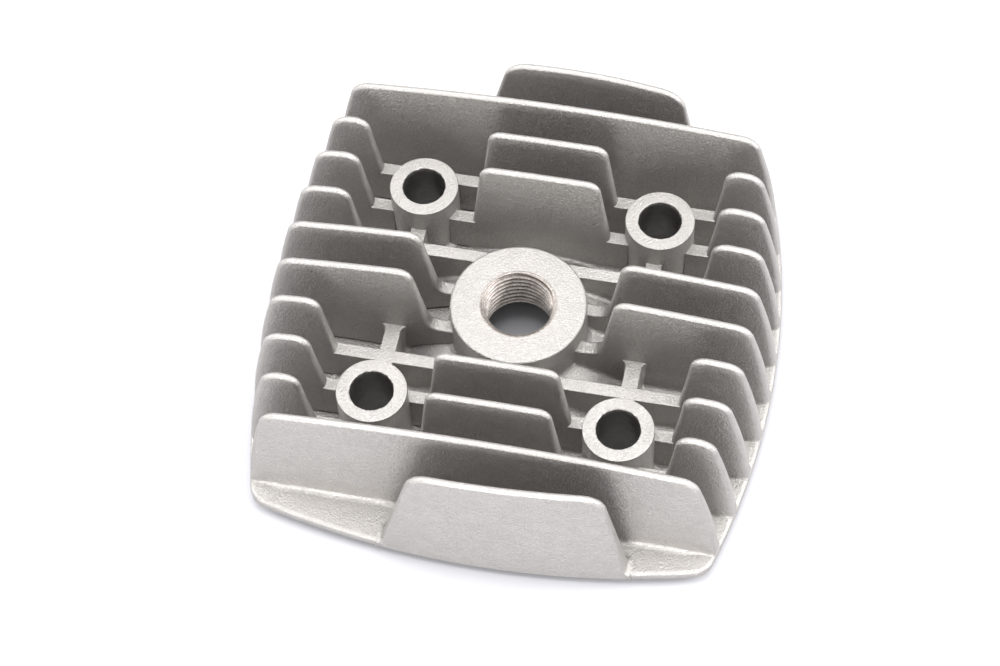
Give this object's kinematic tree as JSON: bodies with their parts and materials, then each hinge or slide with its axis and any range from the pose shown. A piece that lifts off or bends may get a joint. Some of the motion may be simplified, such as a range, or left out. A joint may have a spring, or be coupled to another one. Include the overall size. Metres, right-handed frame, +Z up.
{
  "type": "cylinder head",
  "caption": "Air-cooled cylinder head for a small engine: a finned aluminium casting with a threaded spark plug boss, stud bosses, a domed chamber and a flat gasket face.",
  "frame": {"origin": "on the spark plug axis, on the gasket face", "axes": "+X to the right along the fins' length, +Y to the rear across the fins, +Z up from the gasket face to the fin tops"},
  "size_m": [0.098, 0.095, 0.03],
  "materials": {
    "cast_aluminium": "shot-blasted as-cast skin, matt and finely grained",
    "machined_aluminium": "machined, with fine turning marks"
  },
  "bodies": {
    "root": {"deck": "cast_aluminium", "gasket_land": "machined_aluminium", "combustion_dome": "cast_aluminium", "plug_boss": "cast_aluminium", "rear_left_stud_boss": "cast_aluminium", "rear_right_stud_boss": "cast_aluminium", "front_left_stud_boss": "cast_aluminium", "front_right_stud_boss": "cast_aluminium", "rear_tab_fin": "cast_aluminium", "row1_long_fin": "cast_aluminium", "row2_left_fin": "cast_aluminium", "row2_centre_fin": "cast_aluminium", "row2_right_fin": "cast_aluminium", "row3_left_fin": "cast_aluminium", "row3_centre_fin": "cast_aluminium", "row3_right_fin": "cast_aluminium", "row4_left_fin": "cast_aluminium", "row4_right_fin": "cast_aluminium", "row5_left_fin": "cast_aluminium", "row5_right_fin": "cast_aluminium", "row6_left_fin": "cast_aluminium", "row6_right_fin": "cast_aluminium", "row7_left_fin": "cast_aluminium", "row7_right_fin": "cast_aluminium", "row8_left_fin": "cast_aluminium", "row8_centre_fin": "cast_aluminium", "row8_right_fin": "cast_aluminium", "row9_left_fin": "cast_aluminium", "row9_centre_fin": "cast_aluminium", "row9_right_fin": "cast_aluminium", "row10_long_fin": "cast_aluminium", "front_tab_fin": "cast_aluminium", "row2_ribs": "cast_aluminium", "row3_ribs": "cast_aluminium", "row4_rib": "cast_aluminium", "row7_rib": "cast_aluminium", "row8_ribs": "cast_aluminium", "row9_ribs": "cast_aluminium", "rear_left_cross_rib": "cast_aluminium", "rear_right_cross_rib": "cast_aluminium", "front_left_cross_rib": "cast_aluminium", "front_right_cross_rib": "cast_aluminium"}
  },
  "joints": []
}
